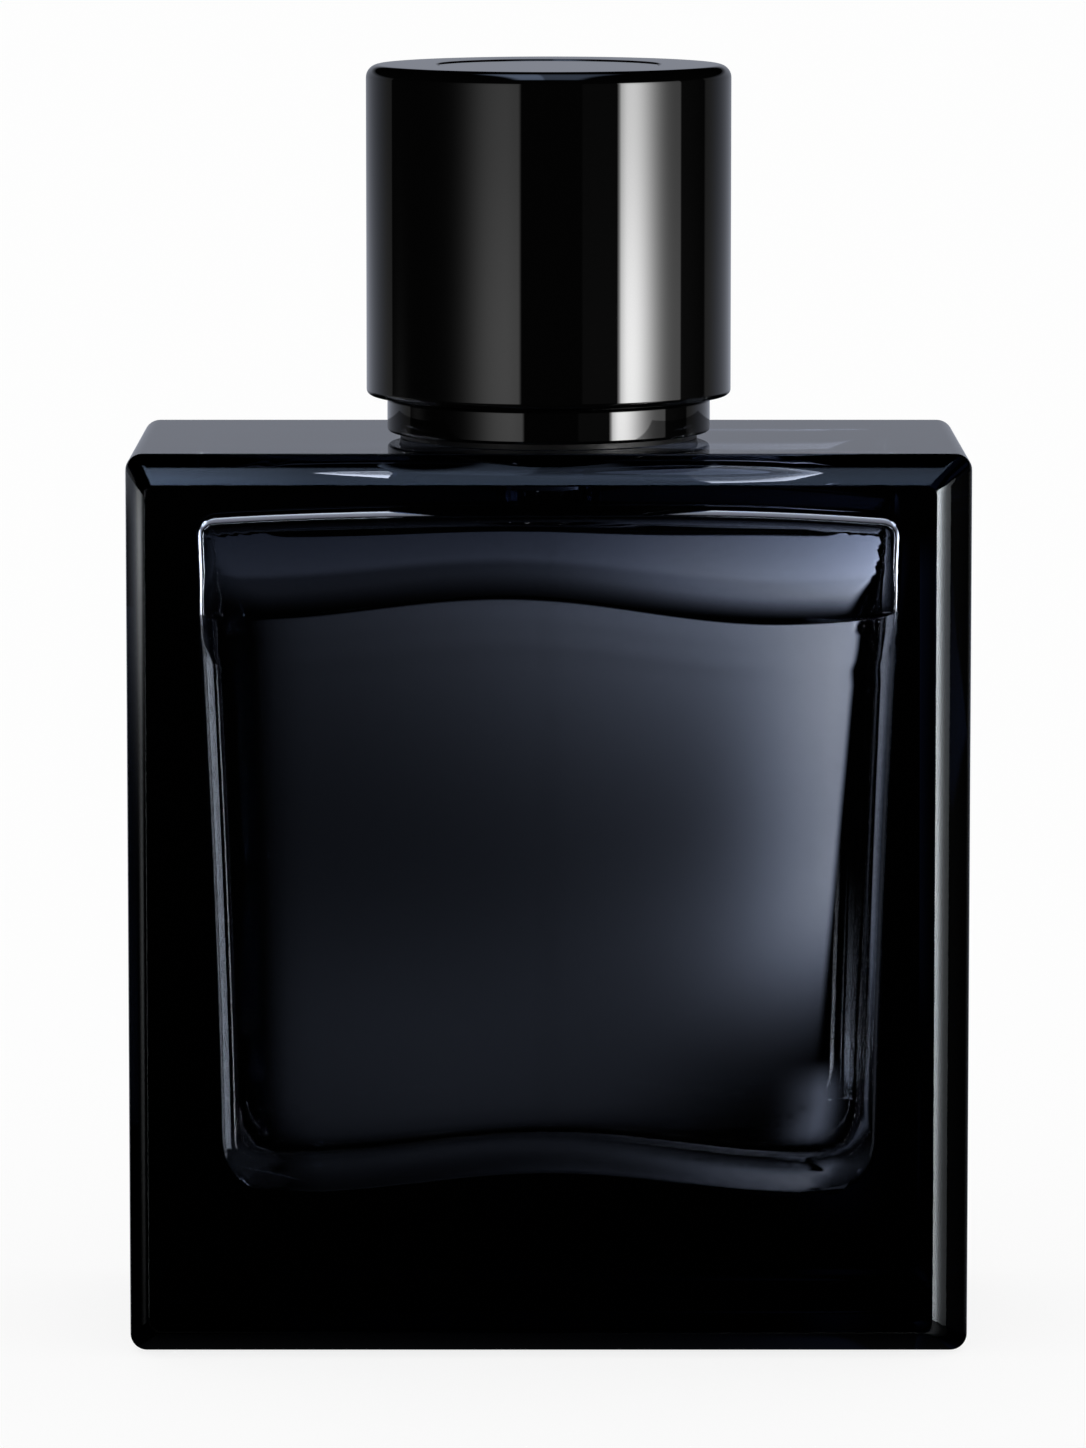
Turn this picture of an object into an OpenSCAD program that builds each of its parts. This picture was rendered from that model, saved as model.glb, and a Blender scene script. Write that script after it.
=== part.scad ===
// Square glass spray bottle with a crimped pump, a collar and a pull-off cap.
// Millimetres. The origin is the centre of the base, +Z is up and the front faces -Y.

/* [Glass body] */
// Width of the glass body
body_w = 76; // [70:1:88]
// Depth of the glass body, front to back
body_d = 41; // [39:1:48]
// Height of the glass body, up to the shoulder
body_h = 81.8; // [76:0.2:92]
// Radius of the four edges that run front to back
corner_r = 1.5; // [1:0.1:2.2]
// Width of the bevel round the front and back faces
bevel_w = 2.5; // [1.8:0.1:3.2]
// Depth of that bevel
bevel_d = 2.2; // [1.6:0.1:3]
// Radius that softens both edges of the bevel
bevel_r = 0.8; // [0.4:0.1:1]
// Width of the ring under the base that the bottle stands on
foot_w = 5; // [4:0.5:8]
// Depth of the hollow inside that ring
foot_h = 0.6; // [0.3:0.1:1]

/* [Cavity] */
// Glass thickness at the front and back
face_wall = 4; // [3:0.25:5]
// Glass thickness at the sides, at the top of the cavity
side_wall = 6.9; // [5.5:0.1:8.5]
// Extra side thickness gained from the top of the cavity to its floor
side_taper = 2.4; // [1:0.2:3.6]
// Glass thickness of the base, at the edge of the cavity's floor
base_wall = 14; // [11:0.5:17]
// Height of the dome in the cavity's floor
floor_rise = 2.3; // [1.5:0.1:3]
// Glass thickness over the cavity, in the middle
roof_wall = 4.6; // [4:0.1:6]
// Drop of the cavity's roof from its middle to its sides
roof_drop = 0.9; // [0.5:0.1:1.3]
// Height of the sloped shoulder inside the cavity
slope_h = 9.4; // [8:0.2:10.6]
// Depth of that slope, from the wall inwards
slope_d = 4.5; // [3:0.25:5.5]
// Radius of the cavity's upright edges
upright_r = 5; // [3:0.25:6]
// Radius of the cavity's lower corners
lower_r = 4.5; // [3:0.25:6]
// Radius of the cavity's upper corners
upper_r = 2; // [1:0.25:3]

/* [Neck] */
// Radius of the neck under its bead
neck_r = 6.6; // [6.4:0.05:6.8]
// Radius of the bead that the ferrule grips
bead_r = 7.5; // [7.3:0.05:7.7]
// Height of the bead
bead_h = 3.6; // [3:0.1:4.2]
// Radius that rounds the bead
bead_edge_r = 0.8; // [0.4:0.1:1.2]
// Height of the neck over the shoulder
neck_h = 8.5; // [8:0.1:9]
// Radius of the bore through the neck
neck_bore_r = 4.75; // [4.6:0.05:5]

/* [Contents] */
// Depth of the air space under the middle of the cavity's roof
head_space = 9.6; // [9:0.2:14]
// Gap drawn between the liquid and the glass
liquid_gap = 0.1; // [0.05:0.05:0.2]

/* [Pump] */
// Distance that the actuator travels
stroke = 4.5; // [3.5:0.1:4.8]
// Radius of the pump's piston bore
pump_bore_r = 3.2; // [3.1:0.05:3.3]
// Wall of the pump housing
pump_wall = 1.1; // [0.9:0.05:1.2]
// Thickness of the housing's flange
flange_t = 1; // [0.8:0.1:1.2]
// Thickness of the neck gasket
gasket_t = 0.9; // [0.6:0.1:1.2]
// Sheet thickness of the ferrule
ferrule_t = 0.4; // [0.3:0.05:0.5]
// Thickness of the gland that guides the stem
gland_t = 1.35; // [1.2:0.05:1.6]
// Radius of the ferrule's raised centre
turret_r = 5.35; // [5.1:0.05:5.6]
// Outer radius of the stem
stem_r = 1.6; // [1.5:0.05:1.7]
// Radius of the stem's bore
stem_bore_r = 0.75; // [0.6:0.05:0.9]
// Radius of the two shoulders on the stem
stem_shoulder_r = 2.4; // [2.3:0.05:2.6]
// Thickness of those shoulders
stem_shoulder_t = 0.9; // [0.7:0.05:1]
// Height of the piston
piston_h = 3.8; // [3.4:0.1:4]
// Distance that the piston slips along the stem
piston_slip = 0.8; // [0.5:0.1:1]
// Radius of the stem's side ports
port_r = 0.35; // [0.25:0.05:0.4]
// Length of the stem's tail, inside the spring
tail_h = 2.2; // [1.5:0.1:2.6]
// Radius of the check ball
ball_r = 1.1; // [1:0.05:1.2]
// Distance that the check ball lifts
ball_lift = 0.8; // [0.5:0.1:1]
// Radius of the inlet under the check ball
inlet_r = 0.7; // [0.5:0.05:0.8]
// Outer radius of the dip tube
tube_r = 1.25; // [1.1:0.05:1.4]
// Wall of the dip tube
tube_wall = 0.45; // [0.35:0.05:0.55]
// Depth of the socket that holds the dip tube
tube_socket_h = 3.5; // [3:0.25:4.5]
// Gap between the dip tube's tip and the cavity's floor
tube_tip_gap = 1.2; // [0.8:0.1:2]

/* [Spring] */
// Radius of the spring's wire
wire_r = 0.2; // [0.15:0.01:0.22]
// Number of turns of the spring
spring_turns = 7; // [5:1:7]

/* [Actuator] */
// Outer radius of the actuator
actuator_r = 6.6; // [6:0.1:7]
// Height of the actuator
actuator_h = 10.8; // [10:0.1:11.2]
// Sheet thickness of the actuator's metal sleeve
sleeve_t = 0.5; // [0.4:0.05:0.6]
// Depth that the stem enters the actuator
stem_grip_h = 4.2; // [3.5:0.1:5]
// Radius of the nozzle insert
nozzle_r = 2; // [1.8:0.1:2.4]
// Depth of the nozzle insert
nozzle_d = 2.2; // [1.8:0.1:2.6]
// Radius of the spray hole
spray_r = 0.25; // [0.15:0.05:0.35]
// Height of the nozzle's axis over the bottom of the actuator
nozzle_z = 6.4; // [6:0.1:7]

/* [Collar] */
// Outer radius of the collar's visible ring
collar_r = 14.8; // [14.5:0.1:15.4]
// Height of the visible ring
collar_ring_h = 3.1; // [2.6:0.1:3.6]
// Gap between the glass shoulder and the visible ring
collar_lift = 0.6; // [0.4:0.1:1]
// Width of the ledge on top of the ring, round the spigot that carries the cap
collar_step = 2.6; // [2.3:0.1:3]
// Wall of the collar
collar_wall = 1.1; // [0.9:0.1:1.3]
// Height of the collar's top over the shoulder
collar_top = 13; // [12.8:0.1:13.4]
// Gap round the actuator in the collar's top
collar_hole_gap = 0.7; // [0.5:0.1:1]
// Number of ribs in the collar's insert
insert_ribs = 12; // [8:1:16]

/* [Cap] */
// Distance that the cap stands out past the collar's ring
cap_overhang = 1.9; // [1.5:0.1:3]
// Height of the cap
cap_h = 30.2; // [29.8:0.1:34]
// Wall of the cap's shell
cap_wall = 1.6; // [1.2:0.1:1.8]
// Thickness of the cap's top
cap_top_t = 2.4; // [2:0.1:2.6]
// Radius of the cap's upper edge
cap_edge_r = 1.2; // [0.8:0.1:1.4]
// Radius of the cap's rim
cap_rim_r = 0.5; // [0.2:0.1:0.7]
// Gap between the collar's ring and the cap's rim
cap_gap = 0.25; // [0.15:0.05:0.4]
// Radius of the disc let into the cap's top
disc_r = 10.1; // [9:0.1:11]
// Thickness of that disc
disc_t = 0.6; // [0.4:0.1:0.8]
// Depth of the disc's face under the cap's top
disc_recess = 0.4; // [0.2:0.1:0.6]
// Wall of the cap's liner
liner_wall = 1.1; // [0.9:0.1:1.2]
// Number of ribs round the liner
liner_ribs = 12; // [8:1:16]

/* [Clearances] */
// Radial gap of a part that slides or turns in another
run_gap = 0.06; // [0.04:0.01:0.09]
// Gap between faces that rest on each other
seat_gap = 0.05; // [0.03:0.01:0.08]
// Gap between a fixed part and its neighbour
fit_gap = 0.1; // [0.08:0.01:0.15]
// Gap kept between the pressed actuator and the ferrule
stop_gap = 0.35; // [0.3:0.05:0.5]

/* [Hidden] */
$fn = 64;

// Overshoot of every cut past the face it opens
cut = 1;
// Most that one flat of a rounded slanted corner turns, in degrees
arc_step = 9;

// Cavity
cavity_x = body_w / 2 - side_wall;
cavity_y = body_d / 2 - face_wall;
cavity_top = body_h - roof_wall;
cavity_h = cavity_top - base_wall;
taper_angle = atan(side_taper / cavity_h);
slope_end_z = cavity_top - slope_h;
slope_edge_r = 2.5;
floor_edge_r = 4;
roof_ball_r = (pow(cavity_x, 2) + pow(roof_drop, 2)) / (2 * roof_drop);
dome_half_w = cavity_x - side_taper - lower_r;
dome_r = (pow(dome_half_w, 2) + pow(floor_rise, 2)) / (2 * floor_rise);
liquid_top = cavity_top - head_space;

// Heights up the neck and pump
neck_top = body_h + neck_h;
flange_z = neck_top + gasket_t;
flange_top = flange_z + flange_t;
gland_z = flange_top + seat_gap;
turret_top = gland_z + gland_t + seat_gap + ferrule_t;
ferrule_r = bead_r + fit_gap + ferrule_t;
ferrule_z = neck_top - bead_h - fit_gap - ferrule_t;
shoulder_z = gland_z - 2 * seat_gap - stem_shoulder_t;
piston_z = shoulder_z - seat_gap - piston_slip - piston_h;
core_shoulder_z = piston_z - seat_gap - stem_shoulder_t;
tail_z = core_shoulder_z - tail_h;
valve_drop = 1;
spring_z = tail_z - stroke - valve_drop;
spring_r = stem_r + wire_r + 2 * fit_gap;
spring_top = core_shoulder_z - seat_gap;

// Check valve under the spring's ledge
valve_slack = 0.25;
valve_r = ball_r + valve_slack;
valve_h = 2 * ball_r + ball_lift;
seat_cone_h = valve_r - inlet_r;
valve_z = spring_z - seat_gap - valve_h;
ball_z = valve_z - seat_cone_h + (ball_r + seat_gap) * sqrt(2) - inlet_r;
inlet_h = 0.8;
tube_top = valve_z - seat_cone_h - inlet_h;
tube_tail_z = tube_top - tube_socket_h;
housing_r = pump_bore_r + pump_wall;
housing_tail_r = tube_r + run_gap + pump_wall;
ledge_h = 1;
tube_tip_z = base_wall + floor_rise + tube_tip_gap;

// Actuator, resting at the top of its stroke
actuator_z = turret_top + stop_gap + stroke;
stem_top = actuator_z + stem_grip_h;
core_r = actuator_r - sleeve_t - run_gap;
nozzle_axis_z = actuator_z + nozzle_z;
channel_r = 0.5;
sleeve_edge_r = 0.9;

// Collar and cap
ring_z = body_h + collar_lift;
ring_top = ring_z + collar_ring_h;
collar_top_z = body_h + collar_top;
collar_hole_r = actuator_r + collar_hole_gap;
spigot_r = collar_r - collar_step;
spigot_in_r = spigot_r - collar_wall;
ring_in_r = collar_r - collar_wall;
insert_out_r = spigot_in_r - fit_gap;
insert_in_r = ferrule_r + fit_gap;
insert_top = collar_top_z - collar_wall - fit_gap;
edge_r = 0.3;
cap_r = collar_r + cap_overhang;
cap_z = ring_top + cap_gap;
cap_top = cap_z + cap_h;
cap_in_r = cap_r - cap_wall;
liner_z = ring_top + 2 * seat_gap;
liner_in_r = spigot_r + run_gap;
liner_out_r = cap_in_r - fit_gap;
liner_top = cap_top - cap_top_t - fit_gap;
disc_z = cap_top - disc_recess - disc_t;

glass_colour = [0.07, 0.09, 0.14];
liquid_colour = [0.16, 0.2, 0.3];
lacquer_colour = [0.04, 0.04, 0.05];
metal_colour = [0.78, 0.79, 0.8];
natural_colour = [0.9, 0.9, 0.88];

function unit(v) = v / norm(v);

// Points of the arc that rounds one corner of an outline, in the outline's own direction
function arc_points(points, r, i) =
    let (
        n = len(points),
        here = points[i],
        back = unit(points[(i + n - 1) % n] - here),
        ahead = unit(points[(i + 1) % n] - here),
        half = acos(back * ahead) / 2,
        centre = here + unit(back + ahead) * r / sin(half),
        start = here + back * r / tan(half) - centre,
        turn = (180 - 2 * half) * sign(back[1] * ahead[0] - back[0] * ahead[1]),
        steps = max(2, ceil(abs(turn) / arc_step))
    )
    [
        for (k = [0 : steps])
            let (a = turn * k / steps)
            centre + [start[0] * cos(a) - start[1] * sin(a),
                      start[0] * sin(a) + start[1] * cos(a)]
    ];

// Outline with slanted sides, each corner rounded to its radius
module rounded(points, radii) {
    polygon([for (i = [0 : len(points) - 1]) each arc_points(points, radii[i], i)]);
}

// Upright rectangle from a low corner to a high corner, with a true arc at each corner that
// has a radius: low left, low right, high right, high left
module rounded_box(low, high, radii) {
    corners = [low, [high[0], low[1]], high, [low[0], high[1]]];
    inwards = [[1, 1], [-1, 1], [-1, -1], [1, -1]];
    polygon([
        for (i = [0 : 3])
            let (
                along_x = [inwards[i][0] * radii[i], 0],
                along_y = [0, inwards[i][1] * radii[i]]
            )
            each radii[i] == 0 ? [corners[i]]
                : i % 2 == 0 ? [corners[i] + along_y, corners[i] + along_x]
                : [corners[i] + along_x, corners[i] + along_y]
    ]);
    for (i = [0 : 3])
        if (radii[i] > 0)
            translate(corners[i] + inwards[i] * radii[i]) circle(r = radii[i]);
}

// Plain rectangle in a turned profile: radius from and to, height from and to
module band(r0, r1, z0, z1) {
    translate([r0, z0]) square([r1 - r0, z1 - z0]);
}

// Ring or disc turned about the upright axis
module ring(r0, r1, z0, z1) {
    rotate_extrude() band(r0, r1, z0, z1);
}

// Straight hole or rod along the upright axis
module rod(r, z0, z1) {
    translate([0, 0, z0]) cylinder(r = r, h = z1 - z0);
}

// Outline in X and Z, drawn through the depth
module through_y(depth) {
    rotate([90, 0, 0]) linear_extrude(depth, center = true) children();
}

// Outline in Y and Z, drawn across the width
module across_x(width) {
    rotate([90, 0, 90]) linear_extrude(width, center = true) children();
}

// Rectangle whose four corners are cut by the bevel: cut_x off its width, cut_y off its depth
module bevelled_box(low, high, cut_x, cut_y) {
    rounded([
        [low[0] + cut_x, low[1]], [high[0] - cut_x, low[1]],
        [high[0], low[1] + cut_y], [high[0], high[1] - cut_y],
        [high[0] - cut_x, high[1]], [low[0] + cut_x, high[1]],
        [low[0], high[1] - cut_y], [low[0], low[1] + cut_y]
    ], [for (i = [1 : 8]) bevel_r]);
}

// ---- Glass ----

// Solid block of the glass body, bevelled round its front and back faces
module glass_block() {
    half_w = body_w / 2;
    half_d = body_d / 2;
    intersection() {
        through_y(body_d + cut)
            rounded_box([-half_w, 0], [half_w, body_h], [for (i = [1 : 4]) corner_r]);
        across_x(body_w + cut)
            bevelled_box([-half_d, 0], [half_d, body_h], bevel_d, bevel_w);
        linear_extrude(body_h)
            bevelled_box([-half_w, -half_d], [half_w, half_d], bevel_w, bevel_d);
    }
}

// Sliver that rounds one upright edge of the cavity, leaning with the tapered side
module upright_edge(inset) {
    lean_h = cavity_h / cos(taper_angle) + 2 * cut;
    steps = ceil(90 / arc_step);
    translate([cavity_x - inset, cavity_y - inset, cavity_top])
        rotate([0, taper_angle, 0])
            translate([0, 0, cut - lean_h])
                linear_extrude(lean_h)
                    polygon(concat(
                        [[cut, -upright_r], [cut, cut], [-upright_r, cut]],
                        [for (k = [steps : -1 : 0])
                            let (a = 90 * k / steps)
                            [cos(a) - 1, sin(a) - 1] * upright_r]
                    ));
}

// Space inside the glass, or a copy of it that is smaller all round by inset
module cavity(inset = 0) {
    top_x = cavity_x - inset;
    low_x = top_x - side_taper;
    wall_y = cavity_y - inset;
    top_z = cavity_top - inset;
    low_z = base_wall + inset;
    slope_y = wall_y - slope_d;
    difference() {
        intersection() {
            through_y(body_d)
                rounded([[-low_x, low_z], [low_x, low_z], [top_x, top_z], [-top_x, top_z]],
                        [lower_r, lower_r, upper_r, upper_r]);
            across_x(body_w)
                rounded([
                    [-wall_y, low_z], [wall_y, low_z], [wall_y, slope_end_z],
                    [slope_y, top_z], [-slope_y, top_z], [-wall_y, slope_end_z]
                ], [floor_edge_r, floor_edge_r, slope_edge_r, slope_edge_r, slope_edge_r,
                    slope_edge_r]);
            translate([0, 0, top_z - roof_ball_r]) sphere(r = roof_ball_r);
        }
        translate([0, 0, low_z + floor_rise - dome_r]) sphere(r = dome_r);
        for (side = [0, 1])
            for (face = [0, 1])
                mirror([side, 0, 0]) mirror([0, face, 0]) upright_edge(inset);
    }
}

// Neck with the bead that the ferrule is crimped under
module neck() {
    bead_z = neck_top - bead_h;
    rotate_extrude() {
        band(0, neck_r, body_h - cut, neck_top - bead_edge_r);
        rounded_box([0, bead_z], [bead_r, neck_top], [0, bead_edge_r, bead_edge_r, 0]);
    }
}

module glass_bottle() {
    hollow_x = body_w / 2 - foot_w;
    hollow_y = body_d / 2 - foot_w;
    hollow_r = 6;
    color(glass_colour)
        difference() {
            union() {
                glass_block();
                neck();
            }
            cavity();
            rod(neck_bore_r, cavity_top - cut, neck_top + cut);
            translate([0, 0, -cut])
                linear_extrude(cut + foot_h)
                    rounded_box([-hollow_x, -hollow_y], [hollow_x, hollow_y],
                                [for (i = [1 : 4]) hollow_r]);
        }
}

module liquid() {
    color(liquid_colour)
        difference() {
            cavity(liquid_gap);
            translate([-body_w / 2, -body_d / 2, liquid_top]) cube([body_w, body_d, body_h]);
            rod(tube_r + liquid_gap, tube_tip_z - liquid_gap, liquid_top + cut);
        }
}

// ---- Closure on the neck ----

module neck_gasket() {
    color("dimgray")
        ring(housing_r + fit_gap, bead_r - fit_gap, neck_top + seat_gap / 2,
             flange_z - seat_gap / 2);
}

// Thin sheet cup: crimped in under the bead, stepped up over the gland
module crimp_ferrule() {
    curl_r = neck_r + fit_gap;
    shoulder_top = flange_top + seat_gap + ferrule_t;
    stem_hole_r = stem_r + 3 * fit_gap;
    color(metal_colour)
        rotate_extrude() {
            band(curl_r, ferrule_r, ferrule_z, ferrule_z + ferrule_t);
            band(ferrule_r - ferrule_t, ferrule_r, ferrule_z, shoulder_top);
            band(turret_r - ferrule_t, ferrule_r, shoulder_top - ferrule_t, shoulder_top);
            band(turret_r - ferrule_t, turret_r, shoulder_top - ferrule_t, turret_top);
            band(stem_hole_r, turret_r, turret_top - ferrule_t, turret_top);
        }
}

// Cylinder of the pump: flange on the gasket, piston bore, check valve and tube socket
module pump_housing() {
    ledge_z = spring_z - seat_gap;
    flange_r = bead_r - fit_gap;
    floor_z = ledge_z - ledge_h;
    color(natural_colour)
        difference() {
            union() {
                ring(0, flange_r, flange_z, flange_top);
                rotate_extrude()
                    polygon([
                        [0, tube_tail_z], [housing_tail_r, tube_tail_z],
                        [housing_tail_r, floor_z], [housing_r, ledge_z],
                        [housing_r, flange_z + flange_t / 2], [0, flange_z + flange_t / 2]
                    ]);
            }
            rod(pump_bore_r, ledge_z, flange_top + cut);
            rod(valve_r, valve_z, ledge_z + cut);
            translate([0, 0, valve_z - seat_cone_h])
                cylinder(r1 = inlet_r, r2 = valve_r, h = seat_cone_h);
            rod(inlet_r, tube_top - cut, valve_z);
            rod(tube_r + run_gap, tube_tail_z - cut, tube_top);
        }
}

module pump_gland() {
    color(natural_colour)
        ring(stem_r + run_gap, turret_r - ferrule_t - fit_gap, gland_z, gland_z + gland_t);
}

// Dip tube, cut on a slant at its tip
module dip_tube() {
    slant = 45;
    color(natural_colour)
        difference() {
            rod(tube_r, tube_tip_z, tube_top - seat_gap);
            rod(tube_r - tube_wall, tube_tip_z - cut, tube_top + cut);
            translate([-tube_r, -tube_r, tube_tip_z])
                rotate([slant, 0, 0])
                    translate([-cut, -cut, -4 * tube_r])
                        cube([4 * tube_r, 6 * tube_r, 4 * tube_r]);
        }
}

// ---- Moving parts of the pump ----

module check_ball() {
    color(metal_colour)
        translate([0, 0, ball_z]) sphere(r = ball_r);
}

// Height of the wire's middle, at a share of the spring's length: both end turns lie flat
function spring_rise(share) =
    let (flat = 1 / spring_turns)
    share < flat ? 0 : share > 1 - flat ? 1 : (share - flat) / (1 - 2 * flat);

module main_spring() {
    ring_sides = 8;
    steps_per_turn = 16;
    steps = spring_turns * steps_per_turn;
    low = spring_z + wire_r;
    high = spring_top - wire_r;
    end_rise = 2 * wire_r + seat_gap;
    function wire_z(share) =
        low + end_rise * min(share * spring_turns, 1)
        + (high - low - 2 * end_rise) * spring_rise(share)
        + end_rise * max((share - 1) * spring_turns + 1, 0);
    points = [
        for (i = [0 : steps])
            for (j = [0 : ring_sides - 1])
                let (
                    turn = 360 * i / steps_per_turn,
                    round_wire = 360 * j / ring_sides,
                    r = spring_r + wire_r * cos(round_wire)
                )
                [r * cos(turn), r * sin(turn), wire_z(i / steps) + wire_r * sin(round_wire)]
    ];
    sides = [
        for (i = [0 : steps - 1])
            for (j = [0 : ring_sides - 1])
                let (a = i * ring_sides + j, b = i * ring_sides + (j + 1) % ring_sides)
                [a, b, b + ring_sides, a + ring_sides]
    ];
    first = [for (j = [ring_sides - 1 : -1 : 0]) j];
    last = [for (j = [0 : ring_sides - 1]) steps * ring_sides + j];
    color(metal_colour) polyhedron(points, concat(sides, [first, last]));
}

// Piston: a sleeve on the stem with a flared lip at each end
module piston() {
    lip_h = 0.9;
    waist_cut = 0.6;
    waist_r = pump_bore_r - waist_cut;
    lip_r = pump_bore_r - run_gap;
    in_r = stem_r + run_gap;
    top = piston_z + piston_h;
    color("whitesmoke")
        rotate_extrude()
            polygon([
                [in_r, piston_z], [lip_r, piston_z], [lip_r, piston_z + lip_h / 3],
                [waist_r, piston_z + lip_h], [waist_r, top - lip_h],
                [lip_r, top - lip_h / 3], [lip_r, top], [in_r, top]
            ]);
}

// Hollow stem with a shoulder under the gland and side ports behind the piston
module stem() {
    port_z = piston_z + piston_h / 2;
    color("whitesmoke")
        difference() {
            union() {
                rod(stem_r, piston_z - seat_gap / 2, stem_top);
                rod(stem_shoulder_r, shoulder_z, shoulder_z + stem_shoulder_t);
            }
            rod(stem_bore_r, piston_z - cut, stem_top + cut);
            translate([0, 0, port_z])
                rotate([0, 90, 0]) cylinder(r = port_r, h = 4 * stem_r, center = true);
        }
}

// Plug that closes the foot of the stem, carries the piston and centres the spring
module stem_core() {
    plug_h = piston_h / 4;
    tail_r = spring_r - wire_r - 3 * fit_gap;
    color("gray") {
        rod(stem_shoulder_r, core_shoulder_z, piston_z - seat_gap);
        rod(stem_bore_r - fit_gap / 2, piston_z - seat_gap - cut / 2, piston_z + plug_h);
        rod(tail_r, tail_z, core_shoulder_z + cut / 2);
    }
}

// ---- Actuator ----

// Cylinder along the spray axis, from the upright axis to a depth in front of it
module spray_rod(r, from_y, to_y) {
    translate([0, -from_y, nozzle_axis_z])
        rotate([90, 0, 0]) cylinder(r = r, h = to_y - from_y);
}

module actuator_core() {
    core_top = actuator_z + actuator_h - sleeve_t - run_gap;
    nozzle_back = actuator_r - sleeve_t - nozzle_d;
    color(lacquer_colour)
        difference() {
            rotate_extrude()
                rounded_box([0, actuator_z + fit_gap], [core_r, core_top],
                            [0, 0, sleeve_edge_r - sleeve_t, 0]);
            rod(stem_r + run_gap, actuator_z - cut, stem_top + seat_gap);
            rod(channel_r, stem_top, nozzle_axis_z + channel_r);
            spray_rod(channel_r, 0, core_r);
            spray_rod(nozzle_r + run_gap, nozzle_back, core_r + cut);
        }
}

// Metal overshell of the actuator, open below, with a window for the nozzle
module actuator_sleeve() {
    top = actuator_z + actuator_h;
    color(lacquer_colour)
        difference() {
            rotate_extrude()
                rounded_box([0, actuator_z], [actuator_r, top], [0, 0, sleeve_edge_r, 0]);
            rotate_extrude()
                rounded_box([0, actuator_z - cut], [actuator_r - sleeve_t, top - sleeve_t],
                            [0, 0, sleeve_edge_r - sleeve_t, 0]);
            spray_rod(nozzle_r + fit_gap, core_r / 2, actuator_r + cut);
        }
}

// Nozzle: a cup pressed in from the front, with the spray hole in its dished face
module nozzle_insert() {
    nozzle_back = actuator_r - sleeve_t - nozzle_d;
    nozzle_face = actuator_r - sleeve_t / 2;
    swirl_r = nozzle_r / 2;
    dish_d = 0.4;
    color(lacquer_colour)
        difference() {
            spray_rod(nozzle_r, nozzle_back + seat_gap, nozzle_face);
            spray_rod(swirl_r, nozzle_back - cut, nozzle_back + nozzle_d / 2);
            spray_rod(spray_r, nozzle_back, nozzle_face + cut);
            translate([0, -nozzle_face, nozzle_axis_z])
                rotate([90, 0, 0])
                    translate([0, 0, -dish_d])
                        cylinder(r1 = spray_r, r2 = swirl_r + dish_d, h = dish_d + seat_gap);
        }
}

// ---- Collar ----

// Visible ring with a skirt, and the spigot that carries the cap
module collar_shell() {
    color(lacquer_colour)
        rotate_extrude() {
            rounded_box([ring_in_r, ring_z], [collar_r, ring_top], [0, edge_r, edge_r, 0]);
            band(spigot_in_r, collar_r - edge_r, ring_top - collar_wall, ring_top);
            rounded_box([spigot_in_r, ring_top - collar_wall], [spigot_r, collar_top_z],
                        [0, 0, edge_r, 0]);
            rounded_box([collar_hole_r, collar_top_z - collar_wall],
                        [spigot_r, collar_top_z], [edge_r, 0, edge_r, edge_r]);
        }
}

// Insert that clips over the ferrule: two sleeves joined by ribs, on a foot plate
module collar_insert() {
    wall = 0.9;
    foot_z = body_h + seat_gap;
    foot_top = ring_top - collar_wall - fit_gap;
    clip_r = ferrule_r - fit_gap;
    clip_top = ferrule_z - fit_gap;
    clip_h = 0.8;
    rib_t = 1;
    color("dimgray") {
        difference() {
            union() {
                ring(insert_in_r, insert_in_r + wall, foot_z, insert_top);
                ring(insert_out_r - wall, insert_out_r, foot_z, insert_top);
                ring(insert_in_r, ring_in_r - fit_gap, foot_z, foot_top);
                ring(clip_r, insert_in_r + wall, clip_top - clip_h, clip_top);
            }
            ring(insert_out_r, collar_r, foot_top, insert_top + cut);
        }
        for (i = [0 : insert_ribs - 1])
            rotate([0, 0, 360 * i / insert_ribs])
                translate([insert_in_r + wall / 2, -rib_t / 2, foot_z])
                    cube([insert_out_r - insert_in_r - wall, rib_t, insert_top - foot_z]);
    }
}

// ---- Cap ----

module cap_shell() {
    color(lacquer_colour)
        difference() {
            rotate_extrude()
                rounded_box([0, cap_z], [cap_r, cap_top], [0, cap_rim_r, cap_edge_r, 0]);
            rod(cap_in_r, cap_z - cut, cap_top - cap_top_t);
            rod(disc_r + fit_gap, disc_z - seat_gap, cap_top + cut);
        }
}

// Liner that grips the spigot, with a rim below and ribs against the shell
module cap_liner() {
    out_r = liner_in_r + liner_wall;
    rib_t = 1;
    color("dimgray")
        difference() {
            union() {
                rod(out_r, liner_z, liner_top);
                rod(liner_out_r, liner_z + cap_gap, liner_z + cap_gap + liner_wall);
                rod(liner_out_r, liner_top - liner_wall, liner_top);
                for (i = [0 : liner_ribs - 1])
                    rotate([0, 0, 360 * i / liner_ribs])
                        translate([out_r - liner_wall / 2, -rib_t / 2, liner_z + cap_gap])
                            cube([liner_out_r - out_r, rib_t, liner_top - liner_z - cap_gap]);
            }
            rod(liner_in_r, liner_z - cut, liner_top - liner_wall);
        }
}

module cap_disc() {
    color(lacquer_colour)
        rotate_extrude()
            rounded_box([0, disc_z], [disc_r, disc_z + disc_t], [0, 0, disc_t / 4, 0]);
}

glass_bottle();
liquid();
neck_gasket();
crimp_ferrule();
pump_housing();
pump_gland();
dip_tube();
check_ball();
main_spring();
piston();
stem();
stem_core();
actuator_core();
actuator_sleeve();
nozzle_insert();
collar_shell();
collar_insert();
cap_shell();
cap_liner();
cap_disc();
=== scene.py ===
"""Studio scene of a square navy glass spray bottle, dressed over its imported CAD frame.

Lengths are written in millimetres and turned to metres as each mesh is made. The origin is the
centre of the base, +Z is up and the front faces -Y.
"""

import math

import bpy
import numpy as np
from mathutils import Matrix
from mathutils.geometry import tessellate_polygon


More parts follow.
